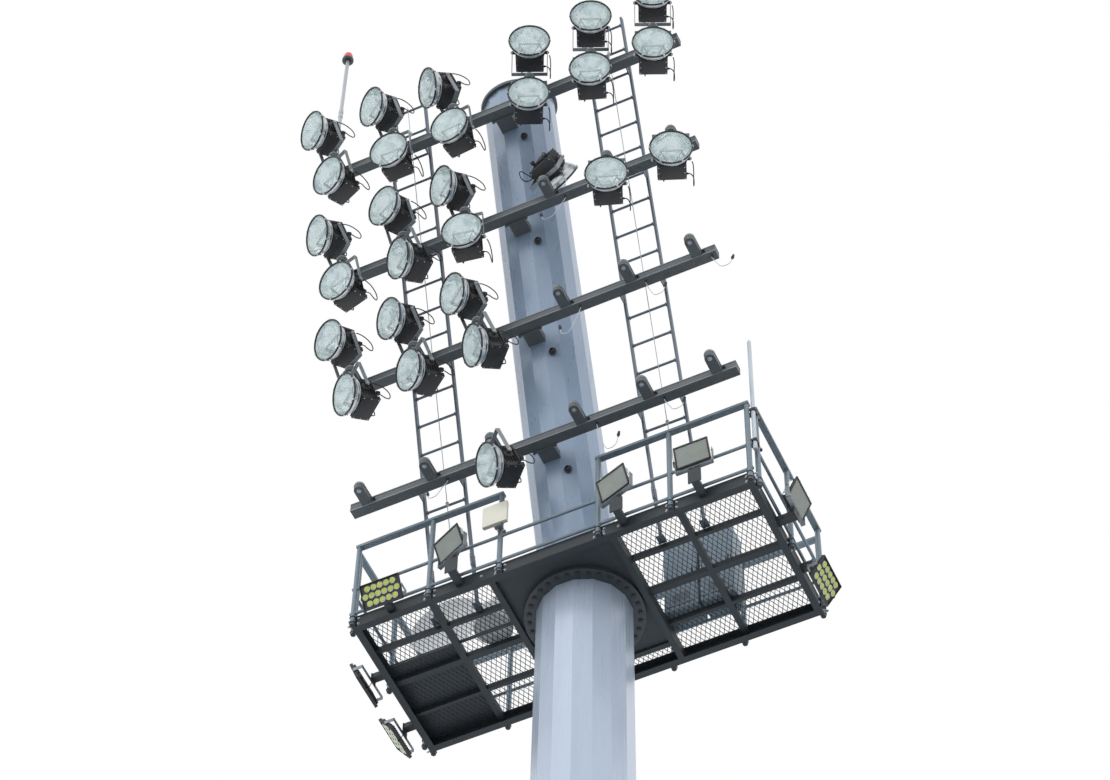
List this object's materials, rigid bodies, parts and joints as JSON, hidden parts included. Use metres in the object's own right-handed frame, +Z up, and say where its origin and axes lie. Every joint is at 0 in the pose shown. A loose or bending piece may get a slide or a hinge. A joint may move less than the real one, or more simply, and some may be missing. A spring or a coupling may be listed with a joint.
{
  "type": "stadium floodlight pylon",
  "caption": "Tapered many-sided steel mast with a service deck and a head leaning over the field, whose crossarms carry tilting round floodlights in yokes.",
  "frame": {"origin": "On the shaft's axis at the underside of the base flange, which is the ground level.", "axes": "+Z up; +X along the crossarms, to the right as seen from the field in front; the field lies towards -Y, and the head leans that way."},
  "size_m": [5.4412, 4.3512, 39.6706],
  "materials": {
    "shaft_steel": "satin",
    "head_steel": "satin",
    "galvanised": "matt zinc",
    "crossarm_steel": "matt zinc, dark with age",
    "yoke_steel": "matt zinc",
    "deck_steel": "matt zinc, dark with age",
    "mesh_steel": "expanded metal",
    "cabinet_paint": "satin",
    "antenna_white": "satin",
    "antenna_cream": "matt",
    "antenna_grey": "matt",
    "lamp_black": "matt",
    "floodlight_metal": "spun aluminium, black housing"
  },
  "bodies": {
    "pylon": {"base_flange": "galvanised", "base_door": "shaft_steel", "shaft_lower": "shaft_steel", "shaft_middle": "shaft_steel", "shaft_upper": "shaft_steel", "head_tube": "head_steel", "head_cap": "head_steel", "crossarm_1": "crossarm_steel", "crossarm_2": "crossarm_steel", "crossarm_3": "crossarm_steel", "crossarm_4": "crossarm_steel", "crossarm_stubs": "crossarm_steel", "yokes_1": "yoke_steel", "yokes_2": "yoke_steel", "yokes_3": "yoke_steel", "yokes_4": "yoke_steel", "ladder_left": "galvanised", "ladder_right": "galvanised", "deck_frame": "deck_steel", "deck_plates": "deck_steel", "mesh_floor_left": "mesh_steel", "mesh_floor_right": "mesh_steel", "handrail_front": "galvanised", "handrail_back": "galvanised", "handrail_ends": "galvanised", "cabinets": "cabinet_paint", "dish_antenna": "antenna_white", "panel_antenna": "antenna_cream", "tube_antenna": "antenna_grey", "obstruction_light": "galvanised", "work_lamps": "lamp_black", "lens_panels": "lamp_black"},
    "head_11a": {"floodlight_11a": "floodlight_metal"},
    "head_11b": {"floodlight_11b": "floodlight_metal"},
    "head_12a": {"floodlight_12a": "floodlight_metal"},
    "head_12b": {"floodlight_12b": "floodlight_metal"},
    "head_13a": {"floodlight_13a": "floodlight_metal"},
    "head_13b": {"floodlight_13b": "floodlight_metal"},
    "head_14a": {"floodlight_14a": "floodlight_metal"},
    "head_14b": {"floodlight_14b": "floodlight_metal"},
    "head_15a": {"floodlight_15a": "floodlight_metal"},
    "head_15b": {"floodlight_15b": "floodlight_metal"},
    "head_16a": {"floodlight_16a": "floodlight_metal"},
    "head_16b": {"floodlight_16b": "floodlight_metal"},
    "head_21a": {"floodlight_21a": "floodlight_metal"},
    "head_21b": {"floodlight_21b": "floodlight_metal"},
    "head_22a": {"floodlight_22a": "floodlight_metal"},
    "head_22b": {"floodlight_22b": "floodlight_metal"},
    "head_23a": {"floodlight_23a": "floodlight_metal"},
    "head_23b": {"floodlight_23b": "floodlight_metal"},
    "head_24a": {"floodlight_24a": "floodlight_metal"},
    "head_25b": {"floodlight_25b": "floodlight_metal"},
    "head_26b": {"floodlight_26b": "floodlight_metal"},
    "head_31a": {"floodlight_31a": "floodlight_metal"},
    "head_31b": {"floodlight_31b": "floodlight_metal"},
    "head_32a": {"floodlight_32a": "floodlight_metal"},
    "head_32b": {"floodlight_32b": "floodlight_metal"},
    "head_33a": {"floodlight_33a": "floodlight_metal"},
    "head_33b": {"floodlight_33b": "floodlight_metal"},
    "head_43b": {"floodlight_43b": "floodlight_metal"}
  },
  "joints": [
    {"name": "tilt_11a", "type": "hinge", "parent": "pylon", "child": "head_11a", "pos_m": [-2.2165, -2.92421, 36.90617], "axis": [0.829, -0.5592, 0], "range_deg": [-30, 25]},
    {"name": "tilt_11b", "type": "hinge", "parent": "pylon", "child": "head_11b", "pos_m": [-2.08875, -2.68395, 36.05441], "axis": [0.9272, -0.3746, 0], "range_deg": [-30, 25]},
    {"name": "tilt_12a", "type": "hinge", "parent": "pylon", "child": "head_12a", "pos_m": [-1.4015, -2.92421, 36.90617], "axis": [0.829, -0.5592, 0], "range_deg": [-30, 25]},
    {"name": "tilt_12b", "type": "hinge", "parent": "pylon", "child": "head_12b", "pos_m": [-1.325, -2.68718, 36.04987], "axis": [1, 0, 0], "range_deg": [-30, 25]},
    {"name": "tilt_13a", "type": "hinge", "parent": "pylon", "child": "head_13a", "pos_m": [-0.62135, -2.91106, 36.90116], "axis": [0.6691, -0.7431, 0], "range_deg": [-30, 25]},
    {"name": "tilt_13b", "type": "hinge", "parent": "pylon", "child": "head_13b", "pos_m": [-0.50138, -2.68749, 36.04987], "axis": [0.9976, -0.0698, 0], "range_deg": [-30, 25]},
    {"name": "tilt_14a", "type": "hinge", "parent": "pylon", "child": "head_14a", "pos_m": [0.55757, -2.91763, 36.91281], "axis": [0.9135, 0.4067, 0], "range_deg": [-30, 25]},
    {"name": "tilt_14b", "type": "hinge", "parent": "pylon", "child": "head_14b", "pos_m": [0.46243, -2.70395, 36.04777], "axis": [0.9135, 0.4067, 0], "range_deg": [-30, 25]},
    {"name": "tilt_15a", "type": "hinge", "parent": "pylon", "child": "head_15a", "pos_m": [1.37257, -2.91763, 36.91281], "axis": [0.9135, 0.4067, 0], "range_deg": [-30, 25]},
    {"name": "tilt_15b", "type": "hinge", "parent": "pylon", "child": "head_15b", "pos_m": [1.285, -2.7009, 36.04777], "axis": [0.9397, 0.342, 0], "range_deg": [-30, 25]},
    {"name": "tilt_16a", "type": "hinge", "parent": "pylon", "child": "head_16a", "pos_m": [2.18757, -2.91763, 36.91281], "axis": [0.9135, 0.4067, 0], "range_deg": [-30, 25]},
    {"name": "tilt_16b", "type": "hinge", "parent": "pylon", "child": "head_16b", "pos_m": [2.09243, -2.70395, 36.04777], "axis": [0.9135, 0.4067, 0], "range_deg": [-30, 25]},
    {"name": "tilt_21a", "type": "hinge", "parent": "pylon", "child": "head_21a", "pos_m": [-2.23836, -2.47026, 35.17431], "axis": [0.7771, -0.6293, 0], "range_deg": [-30, 25]},
    {"name": "tilt_21b", "type": "hinge", "parent": "pylon", "child": "head_21b", "pos_m": [-2.1069, -2.21606, 34.33023], "axis": [0.9703, -0.2419, 0], "range_deg": [-30, 25]},
    {"name": "tilt_22a", "type": "hinge", "parent": "pylon", "child": "head_22a", "pos_m": [-1.38064, -2.47378, 35.18199], "axis": [0.9135, -0.4067, 0], "range_deg": [-30, 25]},
    {"name": "tilt_22b", "type": "hinge", "parent": "pylon", "child": "head_22b", "pos_m": [-1.22868, -2.23401, 34.33524], "axis": [0.766, -0.6428, 0], "range_deg": [-30, 25]},
    {"name": "tilt_23a", "type": "hinge", "parent": "pylon", "child": "head_23a", "pos_m": [-0.59423, -2.45661, 35.18199], "axis": [0.788, -0.6157, 0], "range_deg": [-30, 25]},
    {"name": "tilt_23b", "type": "hinge", "parent": "pylon", "child": "head_23b", "pos_m": [-0.53146, -2.22707, 34.32569], "axis": [0.9848, 0.1736, 0], "range_deg": [-30, 25]},
    {"name": "tilt_24a", "type": "hinge", "parent": "pylon", "child": "head_24a", "pos_m": [0.5431, -2.25787, 35.19423], "axis": [-0.9397, 0.342, 0], "range_deg": [-30, 25]},
    {"name": "tilt_25b", "type": "hinge", "parent": "pylon", "child": "head_25b", "pos_m": [1.28272, -2.23265, 34.32569], "axis": [0.9397, 0.342, 0], "range_deg": [-30, 25]},
    {"name": "tilt_26b", "type": "hinge", "parent": "pylon", "child": "head_26b", "pos_m": [2.0937, -2.23419, 34.32569], "axis": [0.9272, 0.3746, 0], "range_deg": [-30, 25]},
    {"name": "tilt_31a", "type": "hinge", "parent": "pylon", "child": "head_31a", "pos_m": [-2.21035, -2.01911, 33.45281], "axis": [0.8829, -0.4695, 0], "range_deg": [-30, 25]},
    {"name": "tilt_31b", "type": "hinge", "parent": "pylon", "child": "head_31b", "pos_m": [-2.04775, -1.76873, 32.61106], "axis": [0.788, -0.6157, 0], "range_deg": [-30, 25]},
    {"name": "tilt_32a", "type": "hinge", "parent": "pylon", "child": "head_32a", "pos_m": [-1.41308, -2.00803, 33.45281], "axis": [0.809, -0.5878, 0], "range_deg": [-30, 25]},
    {"name": "tilt_32b", "type": "hinge", "parent": "pylon", "child": "head_32b", "pos_m": [-1.23693, -1.76558, 32.61106], "axis": [0.809, -0.5878, 0], "range_deg": [-30, 25]},
    {"name": "tilt_33a", "type": "hinge", "parent": "pylon", "child": "head_33a", "pos_m": [-0.59808, -2.00803, 33.45281], "axis": [0.809, -0.5878, 0], "range_deg": [-30, 25]},
    {"name": "tilt_33b", "type": "hinge", "parent": "pylon", "child": "head_33b", "pos_m": [-0.40221, -1.78272, 32.61106], "axis": [0.6947, -0.7193, 0], "range_deg": [-30, 25]},
    {"name": "tilt_43b", "type": "hinge", "parent": "pylon", "child": "head_43b", "pos_m": [-0.39297, -1.3118, 30.89234], "axis": [0.6947, -0.7193, 0], "range_deg": [-30, 25]}
  ]
}
